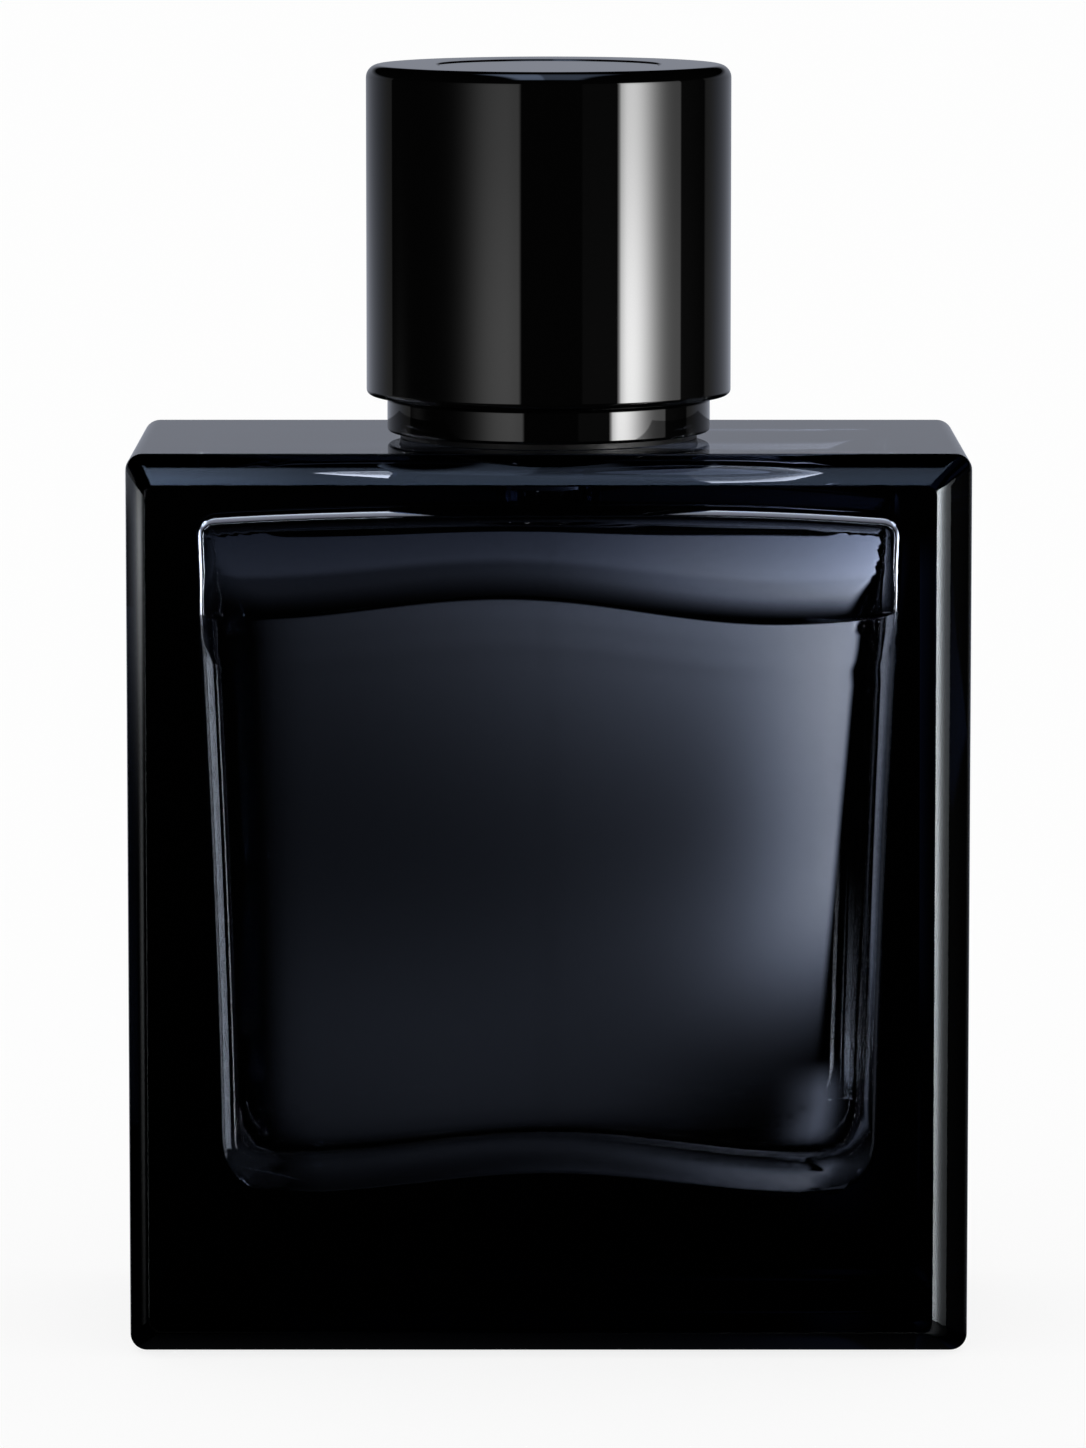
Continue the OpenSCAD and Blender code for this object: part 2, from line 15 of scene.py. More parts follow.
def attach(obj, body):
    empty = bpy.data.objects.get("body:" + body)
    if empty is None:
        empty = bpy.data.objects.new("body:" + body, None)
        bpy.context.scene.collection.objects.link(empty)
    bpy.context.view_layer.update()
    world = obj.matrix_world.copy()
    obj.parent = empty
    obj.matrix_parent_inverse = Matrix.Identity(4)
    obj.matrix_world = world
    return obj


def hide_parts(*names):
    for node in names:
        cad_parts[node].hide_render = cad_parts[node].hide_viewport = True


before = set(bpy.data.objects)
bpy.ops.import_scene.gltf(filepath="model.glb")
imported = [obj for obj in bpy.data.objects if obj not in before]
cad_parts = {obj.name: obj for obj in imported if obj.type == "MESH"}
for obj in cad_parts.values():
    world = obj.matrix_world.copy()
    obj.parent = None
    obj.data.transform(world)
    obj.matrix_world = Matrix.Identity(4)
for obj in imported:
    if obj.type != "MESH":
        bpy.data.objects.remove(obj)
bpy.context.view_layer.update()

MM = 0.001

# ---- Small tools ----


def linear(hex_colour):
    """An sRGB hex colour as linear RGBA."""
    shares = [int(hex_colour[i : i + 2], 16) / 255 for i in (1, 3, 5)]
    return [s / 12.92 if s <= 0.04045 else ((s + 0.055) / 1.055) ** 2.4 for s in shares] + [1]


def add(tree, kind, inputs=None, **settings):
    """Adds one shader node with its settings. An input takes a value or another node's output."""
    made = tree.nodes.new("ShaderNode" + kind)
    for name, value in settings.items():
        setattr(made, name, value)
    for name, value in (inputs or {}).items():
        if isinstance(value, bpy.types.NodeSocket):
            tree.links.new(value, made.inputs[name])
        else:
            made.inputs[name].default_value = value
    return made


def start_material(name):
    """A new material with an empty tree, and its output node."""
    made = bpy.data.materials.new(name)
    made.use_nodes = True
    made.node_tree.nodes.clear()
    return made, made.node_tree, add(made.node_tree, "OutputMaterial")


def unit(v):
    return v / np.linalg.norm(v, axis=-1, keepdims=True)


class Shell:
    """Faces of one closed mesh, each corner with the exact normal of the real surface."""

    def __init__(self):
        self.points, self.faces, self.normals = [], [], []

    def place(self, grid):
        """Adds a grid of points and gives their numbers in the same layout."""
        first = len(self.points)
        flat = np.asarray(grid, float).reshape(-1, 3)
        self.points.extend(flat.tolist())
        return np.arange(first, first + len(flat)).reshape(np.shape(grid)[:-1])

    def skin(self, ids, normals, flip=False):
        """Quads between the rows of a grid whose last column closes on its first."""
        rows, columns = ids.shape
        for j in range(rows - 1):
            for i in range(columns):
                k = (i + 1) % columns
                corners = [(j, i), (j, k), (j + 1, k), (j + 1, i)]
                if flip:
                    corners.reverse()
                self.faces.append([int(ids[c]) for c in corners])
                self.normals.extend(normals[c].tolist() for c in corners)

    def flat(self, loops, normal):
        """A flat face inside the first loop of point numbers and outside the others."""
        outlines = [[self.points[i] for i in loop] for loop in loops]
        numbers = [int(i) for loop in loops for i in loop]
        for corners in tessellate_polygon(outlines):
            a, b, c = (np.array(self.points[numbers[i]]) for i in corners)
            turned = np.cross(b - a, c - a) @ np.array(normal) < 0
            self.faces.append([numbers[i] for i in (corners[::-1] if turned else corners)])
            self.normals.extend([list(normal)] * 3)

    def mesh(self, name):
        made = bpy.data.meshes.new(name)
        made.from_pydata((np.array(self.points) * MM).tolist(), [], self.faces)
        made.shade_smooth()
        made.normals_split_custom_set(self.normals)
        made.validate()
        return made


def put(name, mesh, material, body, nodes=()):
    """Makes a piece from a mesh, and lets it ride, stand for its CAD nodes and take its slot."""
    piece = bpy.data.objects.new(name, mesh)
    bpy.context.scene.collection.objects.link(piece)
    mesh.materials.clear()
    mesh.materials.append(material)
    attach(piece, body)
    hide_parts(*nodes)
    return piece


def filleted(points, radii, step=9):
    """Points of a closed outline with its corners rounded, and the outward normal at each."""
    points = np.array(points, float)
    made, normals, count = [], [], len(points)
    area = sum(
        points[i][0] * points[(i + 1) % count][1] - points[(i + 1) % count][0] * points[i][1]
        for i in range(count)
    )
    side = 1 if area > 0 else -1
    for i, (here, r) in enumerate(zip(points, radii)):
        before, after = points[i - 1], points[(i + 1) % count]
        come, go = unit(here - before), unit(after - here)
        outs = [side * np.array([d[1], -d[0]]) for d in (come, go)]
        if r <= 0:
            made += [here, here]
            normals += outs
            continue
        turn = math.atan2(come[0] * go[1] - come[1] * go[0], come @ go)
        bulge = side * math.copysign(1, turn)
        centre = here - come * r * math.tan(abs(turn) / 2) - outs[0] * r * bulge
        start = math.atan2(*(outs[0][::-1]))
        steps = max(2, math.ceil(math.degrees(abs(turn)) / step))
        for k in range(steps + 1):
            a = start + turn * k / steps
            out = np.array([math.cos(a), math.sin(a)])
            made.append(centre + out * r * bulge)
            normals.append(out)
    return np.array(made), np.array(normals)


def turned(points, radii, sides=192, step=9):
    """A closed solid turned about the upright axis from a filleted profile of radius and height."""
    shell = Shell()
    profile, outs = filleted(points, radii, step)
    angles = np.linspace(0, 2 * math.pi, sides, endpoint=False)
    round_x, round_y = np.sin(angles), -np.cos(angles)
    keep = 1e-6
    rows = []
    for r, z in profile:
        if r < keep:
            rows.append(shell.place([[0, 0, z]])[0])
        else:
            rows.append(
                shell.place(np.stack([r * round_x, r * round_y, np.full(sides, z)], axis=-1))
            )
    count = len(profile)
    for j in range(count):
        k = (j + 1) % count
        (r0, z0), (r1, z1) = profile[j], profile[k]
        if abs(r0 - r1) + abs(z0 - z1) < keep or max(r0, r1) < keep:
            continue
        for i in range(sides):
            n = (i + 1) % sides
            corners = []
            if r0 >= keep:
                corners += [(rows[j][i], outs[j], i), (rows[j][n], outs[j], n)]
            else:
                corners += [(rows[j], outs[j], i)]
            if r1 >= keep:
                corners += [(rows[k][n], outs[k], n), (rows[k][i], outs[k], i)]
            else:
                corners += [(rows[k], outs[k], i)]
            shell.faces.append([int(c[0]) for c in corners])
            shell.normals.extend(
                [out[0] * round_x[m], out[0] * round_y[m], out[1]] for _, out, m in corners
            )
    return shell


# ---- Glass body ----

BODY_W, BODY_D, BODY_H = 76, 41, 81.8
CORNER_R, INNER_R = 1.5, 0.9
# Widths of the soft bevel at the left, top, right and bottom, and how steeply it turns away:
# shares of the width from the inner edge, with the sine of its slope there
BEVEL_LEFT, BEVEL_TOP, BEVEL_RIGHT, BEVEL_BOTTOM, BEVEL_BACK = 1.95, 2.6, 3.55, 2.8, 1.3
BEVEL_SHARES = [0, 0.12, 0.2, 0.31, 0.45, 0.6, 0.93, 1]
BEVEL_SINES = [0.4, 0.477, 0.559, 0.629, 0.72, 0.766, 0.839, 1]
NECK_R, BEAD_R, BEAD_H, NECK_TOP, BORE_R = 6.6, 7.5, 3.6, 90.3, 4.75
FOOT_X, FOOT_Y, FOOT_R, FOOT_DEPTH = 33, 15.5, 6, 0.6
# Cavity: flat walls, a shoulder that slopes from a curved crease, a domed roof and a waved floor
WALL_Y, SIDE_LOW, SIDE_FLARE, FLOOR_Z, ROOF_Z = 16.5, 29.8, 2.3, 14, 77.2
CREASE_TOP, CREASE_X, SLOPE_ANGLE = 68.8, -4, math.radians(25.6)
CREASE_REACH_LEFT, CREASE_REACH_RIGHT = 24, 25
CREASE_DROP_LEFT, CREASE_DROP_RIGHT = 1.9, 2.3
FLOOR_RISE, FLOOR_HALF_W = 2.3, 24
ROOF_BALL_R, ROOF_TILT, ROOF_TILT_Y = 535, 0.085, -11.7
# Roundings of the cavity's edges; those of the roof and the floor change along the edge
FRONT_LEFT_R, FRONT_RIGHT_R, BACK_R, SHOULDER_R = 2.2, 2.4, 5.5, 1.9
ROOF_EDGE_R, ROOF_EDGE_CHANGE, ROOF_EDGE_REACH = 1.15, 0.55, 8
FLOOR_EDGE_R, FLOOR_EDGE_CHANGE, FLOOR_EDGE_X, FLOOR_EDGE_REACH = 4.25, 1.25, 20, 9
# Mesh rows of the cavity: where rays to its wall start, and the heights of the rows
FRONT_ANCHOR, BACK_ANCHOR = (28.2, 13.2), (25.5, 9.5)
LOW_ROW, MIDDLE_ROW, HIGH_ROW = 20, 60, 71.2
# Liquid: how far it wets into the glass, and its climb at the wall
WET, LEVEL_DROP, CLIMB, CLIMB_REACH = 0.05, 0.3, 0.6, 0.8


def bevel_stations():
    """Stations over the soft bevel: share of its width, depth Y, and both their slopes."""
    first = [(0.0, 0.0), (0.025, 0.14), (0.05, 0.28)]
    shares = list(np.linspace(0.07, 0.93, 22)) + [0.95, 0.968, 0.982, 0.992, 0.998, 1.0]
    sines = np.interp(shares, BEVEL_SHARES, BEVEL_SINES)
    shares = np.array([u for u, _ in first] + shares)
    sines = np.array([v for _, v in first] + list(sines))
    cosines = np.sqrt(1 - sines**2)
    middle = np.diff(shares) * BEVEL_RIGHT
    rate = np.diff(sines) / middle
    depths = np.concatenate([[0], np.cumsum((cosines[:-1] - cosines[1:]) / rate)])
    half = BODY_D / 2
    front = [
        (1 - u, -half + d, (v, -c)) for u, d, v, c in zip(shares, depths, sines, cosines)
    ]
    back = [(inset, -y, (out[0], -out[1])) for inset, y, out in front]
    return back + front[::-1]


def outline_ring(inset, y, out):
    """Rounded outline of the body at one station, from the top left corner clockwise."""
    r = CORNER_R + (INNER_R - CORNER_R) * inset
    r_slope = (INNER_R - CORNER_R) / BEVEL_RIGHT
    points, normals = [], []
    for quarter, (sx, sz) in enumerate(((-1, 1), (1, 1), (1, -1), (-1, -1))):
        top = BEVEL_BACK if y > 0 else BEVEL_TOP
        wide = (BEVEL_RIGHT if sx > 0 else BEVEL_LEFT), (top if sz > 0 else BEVEL_BOTTOM)
        centre_x = sx * (BODY_W / 2 - wide[0] * inset - r)
        centre_z = BODY_H / 2 + sz * (BODY_H / 2 - wide[1] * inset - r)
        shrink = np.array([wide[0] / BEVEL_RIGHT, wide[1] / BEVEL_RIGHT])
        for k in range(9):
            a = math.pi - quarter * math.pi / 2 - k * math.pi / 16
            e = np.array([math.cos(a), math.sin(a)])
            points.append([centre_x + r * e[0], y, centre_z + r * e[1]])
            inwards = -(shrink + r_slope) * np.array([sx, sz]) + r_slope * e
            depth = -(inwards @ e)
            normals.append([out[0] * e[0], out[1] * depth, out[0] * e[1]])
    return points, unit(np.array(normals))


def round_max(a, b, r):
    """Height over the nearer of two surfaces, with their corner rounded."""
    corner = np.hypot(np.maximum(a + r, 0), np.maximum(b + r, 0)) - r
    return np.where((a > -r) & (b > -r), corner, np.maximum(a, b))


def crease_z(x):
    """Height of the shoulder's crease: an arch, lower at the right, curling up at both ends."""
    reach = np.where(x < CREASE_X, CREASE_REACH_LEFT, CREASE_REACH_RIGHT)
    drop = np.where(x < CREASE_X, CREASE_DROP_LEFT, CREASE_DROP_RIGHT)
    return CREASE_TOP - drop * (0.5 - 0.5 * np.cos(math.pi * (x - CREASE_X) / reach))


def cavity_wall(p):
    """Height in millimetres of a point over the cavity's wall, negative inside it."""
    x, y, z = np.abs(p[..., 0]), np.abs(p[..., 1]), p[..., 2]
    share = np.clip((z - FLOOR_Z) / (ROOF_Z - FLOOR_Z), 0, 1.2)
    face = y - WALL_Y
    slope = face * math.cos(SLOPE_ANGLE) + (z - crease_z(p[..., 0])) * math.sin(SLOPE_ANGLE)
    side = x - SIDE_LOW - SIDE_FLARE * share**1.5
    roof = z - ROOF_Z - ROOF_TILT * (p[..., 1] - ROOF_TILT_Y)
    roof = roof + (x * x + y * y) / (2 * ROOF_BALL_R)
    wave = 0.5 + 0.5 * np.cos(math.pi * np.minimum(x / FLOOR_HALF_W, 1))
    floor = FLOOR_Z + FLOOR_RISE * wave * (1 - 0.25 * (y / WALL_Y) ** 2) - z
    front = np.where(p[..., 0] < 0, FRONT_LEFT_R, FRONT_RIGHT_R)
    upright = np.where(p[..., 1] < 0, front, BACK_R)
    wall = round_max(round_max(face, side, upright), slope, SHOULDER_R)
    roof_edge = ROOF_EDGE_R - ROOF_EDGE_CHANGE * np.clip(p[..., 1] / ROOF_EDGE_REACH, -1, 1)
    along = np.clip((x - FLOOR_EDGE_X) / FLOOR_EDGE_REACH, 0, 1)
    floor_edge = FLOOR_EDGE_R - FLOOR_EDGE_CHANGE * np.cos(math.pi * along)
    return round_max(round_max(wall, roof, roof_edge), floor, floor_edge)


def wall_normal(p):
    step = 0.01
    parts = [
        cavity_wall(p + step * axis) - cavity_wall(p - step * axis) for axis in np.eye(3)
    ]
    return unit(np.stack(parts, axis=-1))


def reach_wall(start, way, grown):
    """Follows a way from each start until the wall, moved outwards by grown, is met."""
    near, far = np.zeros(start.shape[:-1]), np.full(start.shape[:-1], 16.0)
    for _ in range(40):
        middle = (near + far) / 2
        inside = cavity_wall(start + way * middle[..., None]) < grown
        near, far = np.where(inside, middle, near), np.where(inside, far, middle)
    return start + way * near[..., None]


def ring_plan():
    """Round the cavity: anchors near its uprights, the way out from each, and a square of both."""
    (front_x, front_y), (back_x, back_y) = FRONT_ANCHOR, BACK_ANCHOR
    corners = np.array([[front_x, -front_y], [back_x, back_y], [-back_x, back_y],
                        [-front_x, -front_y]])
    counts, anchors, ways, square = (16, 44, 16, 44), [], [], []
    for quarter, corner in enumerate(corners):
        following = corners[(quarter + 1) % 4]
        for k in range(17):
            a = -math.pi / 2 + quarter * math.pi / 2 + k * math.pi / 32
            anchors.append(corner)
            ways.append([math.cos(a), math.sin(a)])
            square.append(np.sign(corner) + 0.9 * np.array(ways[-1]))
        for k in range(1, counts[quarter]):
            share = k / counts[quarter]
            anchors.append(corner + (following - corner) * share)
            ways.append([round(math.cos(a)), round(math.sin(a))])
            edge = np.sign(corner) + (np.sign(following) - np.sign(corner)) * share
            square.append(edge + 0.9 * np.array(ways[-1]))
    return np.array(anchors), np.array(ways, float), np.array(square)


def wall_rows(heights, grown, top_arc):
    """Rows of points over the cavity's wall: floor edge, upright wall and, if asked, roof edge."""
    anchors, ways, _ = ring_plan()
    rows = []

    def row(z, lift):
        z = np.broadcast_to(z, len(anchors))
        start = np.column_stack([anchors, z])
        # Near the shoulder the front anchors draw back from its slope
        back = np.clip((z - MIDDLE_ROW) / 11, 0, 1) * (anchors[:, 1] < -BACK_ANCHOR[1])
        inwards = 2.2 * np.abs(anchors[:, 0]) / FRONT_ANCHOR[0]
        start[:, 0] -= back * np.sign(anchors[:, 0]) * inwards
        start[:, 1] += back * (-BACK_ANCHOR[1] - anchors[:, 1])
        way = np.column_stack([ways * math.cos(lift), np.full(len(ways), math.sin(lift))])
        rows.append(reach_wall(start, way, grown))

    for k in range(4, 15):
        row(heights[0], math.radians(-90 + 90 * k / 15))
    for z in heights:
        row(z, 0)
    if top_arc:
        for k in range(1, 15):
            row(heights[-1], math.radians(90 * k / 18))
    return rows, anchors + ways


def glass_mesh():
    shell = Shell()
    stations = bevel_stations()
    rings, ring_normals = zip(*(outline_ring(*s) for s in stations))
    ids = shell.place(np.array(rings))
    normals = np.array(ring_normals)
    sides = len(stations) // 2
    corner = 9
    for j in range(len(stations) - 1):
        for i in range(4 * corner):
            k = (i + 1) % (4 * corner)
            if j == sides - 1 and i in (corner - 1, 3 * corner - 1):
                continue
            quad = [(j, i), (j + 1, i), (j + 1, k), (j, k)]
            shell.faces.append([int(ids[c]) for c in quad])
            shell.normals.extend(normals[c].tolist() for c in quad)
    shell.flat([ids[0]], (0, 1, 0))
    shell.flat([ids[-1]], (0, -1, 0))

    # Neck, bead, lip and bore
    _, _, square = ring_plan()
    angles = np.arctan2(square[:, 1], square[:, 0])
    round_x, round_y = np.cos(angles), np.sin(angles)
    bead_z = NECK_TOP - BEAD_H
    profile, outs = filleted(
        [[NECK_R, BODY_H], [NECK_R, bead_z], [BEAD_R, bead_z], [BEAD_R, NECK_TOP],
         [BORE_R, NECK_TOP], [BORE_R, ROOF_Z - 0.02]],
        [0, 0.4, 0.4, 0.8, 0.6, 0], 18,
    )
    profile, outs = profile[1:-1], outs[1:-1]
    neck = np.stack(
        [profile[:, :1] * round_x, profile[:, :1] * round_y,
         np.broadcast_to(profile[:, 1:], (len(profile), len(angles)))], axis=-1,
    )
    neck_normals = np.stack(
        [outs[:, :1] * round_x, outs[:, :1] * round_y,
         np.broadcast_to(outs[:, 1:], (len(profile), len(angles)))], axis=-1,
    )
    neck[-1] = reach_wall(
        np.column_stack([BORE_R * round_x, BORE_R * round_y, np.full(len(angles), 71.0)]),
        np.array([0, 0, 1.0]), 0,
    )
    neck_ids = shell.place(neck)
    shell.skin(neck_ids, neck_normals)
    top_edge = [ids[sides - 1][corner - 1], ids[sides - 1][corner], ids[sides][corner],
                ids[sides][corner - 1]]
    shell.flat([top_edge, neck_ids[0]], (0, 0, 1))

    # Hollow under the base
    low, high = ids[sides - 1], ids[sides]
    foot_edge = [low[3 * corner - 1], high[3 * corner - 1], high[3 * corner], low[3 * corner]]
    foot, foot_outs = filleted(
        [[-FOOT_X, -FOOT_Y], [FOOT_X, -FOOT_Y], [FOOT_X, FOOT_Y], [-FOOT_X, FOOT_Y]],
        [FOOT_R] * 4,
    )
    rows = shell.place(
        np.stack([np.column_stack([foot, np.full(len(foot), z)]) for z in (0, FOOT_DEPTH)])
    )
    inwards = np.column_stack([-foot_outs, np.zeros(len(foot))])
    shell.skin(rows, np.stack([inwards, inwards]), flip=True)
    shell.flat([foot_edge, rows[0]], (0, 0, -1))
    shell.flat([rows[1]], (0, 0, -1))

    # Cavity
    heights = np.concatenate(
        [np.linspace(LOW_ROW, MIDDLE_ROW, 21), np.linspace(MIDDLE_ROW, HIGH_ROW, 38)[1:]]
    )
    wall, anchors = wall_rows(heights, 0, True)
    roof = []
    for share in np.linspace(0, 1, 10)[1:-1]:
        spot = wall[-1][:, :2] * (1 - share) + BORE_R * share * np.column_stack(
            [round_x, round_y]
        )
        start = np.column_stack([spot, np.full(len(spot), heights[-1])])
        roof.append(reach_wall(start, np.array([0, 0, 1.0]), 0))
    floor = []
    for share in np.linspace(0, 1, 12)[1:]:
        start = np.column_stack([anchors * share, np.full(len(anchors), heights[0])])
        floor.append(reach_wall(start, np.array([0, 0, -1.0]), 0))
    grid = np.array(floor + wall + roof)
    cavity_ids = shell.place(grid)
    cavity_normals = -wall_normal(grid)
    shell.skin(cavity_ids, cavity_normals, flip=True)
    last, bore = cavity_ids[-1], neck_ids[-1]
    for i in range(len(last)):
        k = (i + 1) % len(last)
        shell.faces.append([int(last[i]), int(bore[i]), int(bore[k]), int(last[k])])
        shell.normals.extend([cavity_normals[-1][i].tolist(), [0, 0, -1], [0, 0, -1],
                              cavity_normals[-1][k].tolist()])
    low = np.array([[0, 0, float(LOW_ROW)]])
    centre = shell.place(reach_wall(low, np.array([0, 0, -1.0]), 0))
    for i in range(len(last)):
        k = (i + 1) % len(last)
        shell.faces.append([int(centre[0]), int(cavity_ids[0][i]), int(cavity_ids[0][k])])
        shell.normals.extend([[0, 0, 1]] * 3)
    return shell.mesh("glass_body")


def liquid_mesh():
    """The fill: it wets the glass, and its top follows the shoulder and climbs at the wall."""
    shell = Shell()

    def level(x, depth):
        return crease_z(x) - LEVEL_DROP + CLIMB * np.exp(depth / CLIMB_REACH)

    anchors, ways, _ = ring_plan()
    rim = reach_wall(np.column_stack([anchors, np.full(len(anchors), 62.0)]),
                     np.column_stack([ways, np.zeros(len(ways))]), WET)
    edge = level(rim[:, 0], np.zeros(len(anchors)))
    shares = np.linspace(0, 1, 24)
    heights = [LOW_ROW + (edge - LOW_ROW) * share for share in shares]
    wall, spread = wall_rows(heights, WET, False)
    floor = []
    for share in np.linspace(0, 1, 12)[1:]:
        start = np.column_stack([spread * share, np.full(len(anchors), float(LOW_ROW))])
        floor.append(reach_wall(start, np.array([0, 0, -1.0]), WET))
    grid = np.array(floor + wall)
    ids = shell.place(grid)
    shell.skin(ids, wall_normal(grid))
    low = np.array([[0, 0, float(LOW_ROW)]])
    centre = shell.place(reach_wall(low, np.array([0, 0, -1.0]), WET))
    for i in range(len(anchors)):
        k = (i + 1) % len(anchors)
        shell.faces.append([int(centre[0]), int(ids[0][k]), int(ids[0][i])])
        shell.normals.extend([[0, 0, -1]] * 3)
    rim = grid[-1]
    top = []
    for share in (0.01, 0.02, 0.035, 0.055, 0.08, 0.12, 0.18, 0.28, 0.45, 0.7, 0.97):
        spot = rim.copy()
        spot[:, :2] *= 1 - share
        depth = np.minimum(cavity_wall(spot), 0)
        spot[:, 2] = level(spot[:, 0], depth)
        top.append(spot)
    step = 0.02
    top_grid = np.array([rim] + top)

    def surface(p):
        return level(p[..., 0], np.minimum(cavity_wall(p), 0))

    slope_x = (surface(top_grid + [step, 0, 0]) - surface(top_grid - [step, 0, 0])) / (2 * step)
    slope_y = (surface(top_grid + [0, step, 0]) - surface(top_grid - [0, step, 0])) / (2 * step)
    top_normals = unit(np.stack([-slope_x, -slope_y, np.ones_like(slope_x)], axis=-1))
    top_ids = np.vstack([ids[-1:], shell.place(np.array(top))])
    shell.skin(top_ids, top_normals)
    middle = shell.place([[0, 0, float(level(np.array(0.0), np.array(-9.0)))]])
    for i in range(len(anchors)):
        k = (i + 1) % len(anchors)
        shell.faces.append([int(top_ids[-1][i]), int(top_ids[-1][k]), int(middle[0])])
        shell.normals.extend([[0, 0, 1]] * 3)
    return shell.mesh("fill")


# ---- Materials ----


def fine_grain(tree, millimetres, low, high, detail=2):
    """A value that drifts between low and high over spots of a real size."""
    place = add(tree, "TexCoord")
    noise = add(tree, "TexNoise", {"Vector": place.outputs["Object"],
                                   "Scale": 1 / (millimetres * MM), "Detail": detail})
    spread = add(tree, "MapRange", {"Value": noise.outputs["Fac"], "From Min": 0.3,
                                    "From Max": 0.7, "To Min": low, "To Max": high})
    return spread.outputs["Result"]


def ripple(tree, millimetres, height):
    """A bump of a real width and height, as pressed or sprayed surfaces have."""
    place = add(tree, "TexCoord")
    noise = add(tree, "TexNoise", {"Vector": place.outputs["Object"],
                                   "Scale": 1 / (millimetres * MM), "Detail": 1})
    bump = add(tree, "Bump", {"Height": noise.outputs["Fac"], "Strength": 1,
                              "Distance": height * MM})
    return bump.outputs["Normal"]


def navy_glass():
    """Soda-lime glass tinted navy in its mass, fire-polished: deep colour where it is thick."""
    made, tree, out = start_material("navy_soda_lime_glass")
    shader = add(tree, "BsdfPrincipled", {
        "Base Color": linear("#ffffff"), "Roughness": 0, "IOR": 1.5,
        "Transmission Weight": 1, "Specular Tint": (0.86, 0.94, 1, 1),
        "Normal": ripple(tree, 14, 0.006),
    })
    tint = add(tree, "VolumeAbsorption", {"Color": (0.17, 0.22, 0.33, 1), "Density": 205})
    tree.links.new(shader.outputs["BSDF"], out.inputs["Surface"])
    tree.links.new(tint.outputs["Volume"], out.inputs["Volume"])
    return made


def scented_alcohol():
    """Alcohol and water with a faint blue dye: clear, with its own bend of light."""
    made, tree, out = start_material("tinted_alcohol")
    shader = add(tree, "BsdfPrincipled", {
        "Base Color": linear("#ffffff"), "Roughness": 0, "IOR": 1.365, "Transmission Weight": 1,
        "Normal": ripple(tree, 20, 0.002),
    })
    tint = add(tree, "VolumeAbsorption", {"Color": (0.6, 0.66, 0.8, 1), "Density": 4})
    tree.links.new(shader.outputs["BSDF"], out.inputs["Surface"])
    tree.links.new(tint.outputs["Volume"], out.inputs["Volume"])
    return made


def solid(name, colour, rough_low, rough_high, grain, wave=0, wave_height=0.0, **sockets):
    """An opaque surface whose roughness drifts a little, bumped where its making leaves that."""
    made, tree, out = start_material(name)
    inputs = {"Base Color": linear(colour), "Roughness": fine_grain(tree, grain, rough_low,
                                                                    rough_high)}
    if wave:
        inputs["Normal"] = ripple(tree, wave, wave_height)
    inputs.update(sockets)
    shader = add(tree, "BsdfPrincipled", inputs)
    tree.links.new(shader.outputs["BSDF"], out.inputs["Surface"])
    return made


def clear_tube():
    """Fluoropolymer, extruded or moulded clear: it bends light as the liquid does and vanishes.

    An IOR of 1 leaves light unbent where it passes between the liquid and the part.
    """
    made, tree, out = start_material("fluoropolymer_tube")
    cloud = add(tree, "MapRange", {"Value": fine_grain(tree, 2, 0, 1), "To Min": 0.97})
    shader = add(tree, "BsdfPrincipled", {
        "Base Color": cloud.outputs["Result"], "Roughness": 0, "IOR": 1.0,
        "Transmission Weight": 1,
    })
    tree.links.new(shader.outputs["BSDF"], out.inputs["Surface"])
    return made


glass = navy_glass()
alcohol = scented_alcohol()
tube = clear_tube()
# Sprayed piano lacquer over a moulding: black, mirror smooth, with the faintest orange peel
lacquer = solid("black_piano_lacquer", "#020202", 0.012, 0.03, 1.5, 6, 0.0006)
# Moulded black polypropylene: dull and slightly mottled by its flow
moulded = solid("black_polypropylene", "#0d0d0e", 0.4, 0.52, 0.8, 0.6, 0.002)
# Natural polypropylene: milky white, with light passing into it
natural = solid("natural_polypropylene", "#e9e9e2", 0.32, 0.42, 0.7, 0.8, 0.002,
                **{"Subsurface Weight": 0.4, "Subsurface Radius": (0.002, 0.002, 0.0018)})
# Moulded polyethylene: white and waxy
polyethylene = solid("white_polyethylene", "#f1f1ee", 0.34, 0.44, 0.8, 0.8, 0.002)
# Acetal: grey, slippery and a little glossy
acetal = solid("grey_acetal", "#8b8f92", 0.28, 0.36, 0.8, 0.8, 0.001)
# Nitrile rubber gasket: near black and matt, with a cut edge's fine grain
rubber = solid("black_nitrile_rubber", "#161616", 0.62, 0.75, 0.3, 0.3, 0.004)
# Bare drawn aluminium: bright, with fine marks from the die
aluminium = solid("drawn_aluminium", "#c9cbcd", 0.24, 0.36, 0.35, 0.3, 0.001, Metallic=1)
# Drawn stainless wire: bright and smooth
stainless = solid("stainless_steel", "#c4c2bd", 0.14, 0.22, 0.3, Metallic=1)

# ---- Glass and its fill ----

put("glass_body", glass_mesh(), glass, "bottle", ["glass_bottle"])
put("fill", liquid_mesh(), alcohol, "bottle", ["liquid"])

# ---- Cap ----

CAP_R, CAP_Z, CAP_TOP, CAP_IN_R, CAP_ROOF_T = 16.7, 85.75, 115.95, 15.1, 2.4
DISC_R, DISC_TOP, DISC_T, DISC_GAP, DISC_GLUE_T = 10.1, 115.85, 0.6, 0.1, 0.05
recess_z = DISC_TOP - DISC_T - DISC_GLUE_T
cap = turned(
    [[CAP_R, CAP_Z], [CAP_R, CAP_TOP], [DISC_R + DISC_GAP, CAP_TOP],
     [DISC_R + DISC_GAP, recess_z], [0, recess_z],
     [0, CAP_TOP - CAP_ROOF_T], [CAP_IN_R, CAP_TOP - CAP_ROOF_T], [CAP_IN_R, CAP_Z]],
    [0.5, 1.2, 0.25, 0, 0, 0, 0.4, 0.3],
)
put("cap_body", cap.mesh("cap_body"), lacquer, "cap", ["cap_shell"])
